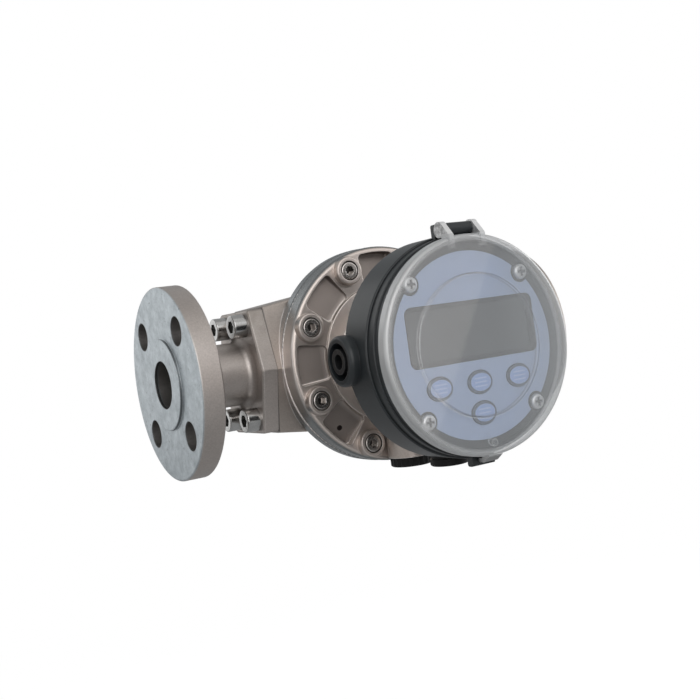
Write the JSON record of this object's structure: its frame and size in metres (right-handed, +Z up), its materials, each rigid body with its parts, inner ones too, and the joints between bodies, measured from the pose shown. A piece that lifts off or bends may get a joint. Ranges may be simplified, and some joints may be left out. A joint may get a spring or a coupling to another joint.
{
  "type": "oval gear flow meter",
  "caption": "Flanged oval gear flow meter: cast steel body with screwed cap, paired rotors inside, and a round display head with keys under a clear flip cover.",
  "frame": {"origin": "centre of the inlet flange's raised face, on the pipe axis", "axes": "+X along the pipe from inlet to outlet, +Z up, the display faces -Y"},
  "size_m": [0.245, 0.1845, 0.1278],
  "materials": {
    "cast_steel": "bead blasted stainless casting",
    "flange_steel": "machined and pickled stainless",
    "screw_steel": "bright stainless",
    "rotor_steel": "machined stainless",
    "bush_plastic": "carbon filled bearing plastic",
    "magnet_metal": "plated magnet",
    "seal_rubber": "moulded seal rubber",
    "board_green": "circuit board",
    "component_black": "moulded component",
    "terminal_green": "moulded terminal strip",
    "battery_wrap": "shrink wrap",
    "housing_plastic": "glass filled moulding, slight sheen",
    "plug_plastic": "black moulding",
    "label_blue": "printed film",
    "window_clear": "clear lens",
    "lcd_grey": "display glass, off",
    "key_blue": "soft key top",
    "cover_clear": "clear moulding"
  },
  "bodies": {
    "meter": {"meter_body": "cast_steel", "meter_cap": "cast_steel", "inlet_flange": "flange_steel", "outlet_flange": "flange_steel", "cap_screws": "screw_steel", "inlet_screws": "screw_steel", "outlet_screws": "screw_steel", "facia_screws": "screw_steel", "housing_screws": "screw_steel", "hinge_pin": "screw_steel", "upper_shaft": "rotor_steel", "lower_shaft": "rotor_steel", "cap_seal": "seal_rubber", "inlet_seal": "seal_rubber", "outlet_seal": "seal_rubber", "bezel_seal": "seal_rubber", "housing_gasket": "seal_rubber", "sensor_board": "board_green", "main_board": "board_green", "magnetic_sensor": "component_black", "key_switches": "component_black", "battery_holder": "component_black", "terminal_block": "terminal_green", "battery": "battery_wrap", "display_housing": "housing_plastic", "front_bezel": "housing_plastic", "conduit_plug": "plug_plastic", "lower_plug": "plug_plastic", "gland_insert": "plug_plastic", "face_label": "label_blue", "lcd_window": "window_clear", "lcd_module": "lcd_grey"},
    "upper_rotor": {"upper_rotor": "rotor_steel", "upper_front_bush": "bush_plastic", "upper_rear_bush": "bush_plastic", "rotor_magnets": "magnet_metal"},
    "lower_rotor": {"lower_rotor": "rotor_steel", "lower_front_bush": "bush_plastic", "lower_rear_bush": "bush_plastic"},
    "flip_cover": {"flip_cover": "cover_clear"},
    "left_key": {"left_key": "key_blue"},
    "centre_key": {"centre_key": "key_blue"},
    "right_key": {"right_key": "key_blue"},
    "lower_key": {"lower_key": "key_blue"}
  },
  "joints": [
    {"name": "cover_hinge", "type": "hinge", "parent": "meter", "child": "flip_cover", "pos_m": [0.1225, -0.122, 0.0595], "axis": [-1, 0, 0], "range_deg": [0, 140]},
    {"name": "upper_rotor_spin", "type": "hinge", "parent": "meter", "child": "upper_rotor", "pos_m": [0.1225, 0, 0.018], "axis": [0, 1, 0], "continuous": true},
    {"name": "lower_rotor_spin", "type": "hinge", "parent": "meter", "child": "lower_rotor", "pos_m": [0.1225, 0, -0.018], "axis": [0, 1, 0], "continuous": true},
    {"name": "left_key_press", "type": "slide", "parent": "meter", "child": "left_key", "axis": [0, 1, 0], "range_m": [0, 0.0008], "stiffness_N_per_m": 1200},
    {"name": "centre_key_press", "type": "slide", "parent": "meter", "child": "centre_key", "axis": [0, 1, 0], "range_m": [0, 0.0008], "stiffness_N_per_m": 1200},
    {"name": "right_key_press", "type": "slide", "parent": "meter", "child": "right_key", "axis": [0, 1, 0], "range_m": [0, 0.0008], "stiffness_N_per_m": 1200},
    {"name": "lower_key_press", "type": "slide", "parent": "meter", "child": "lower_key", "axis": [0, 1, 0], "range_m": [0, 0.0008], "stiffness_N_per_m": 1200}
  ],
  "couplings": [
    {"joint": "lower_rotor_spin", "follows": "upper_rotor_spin", "ratio": -1}
  ]
}
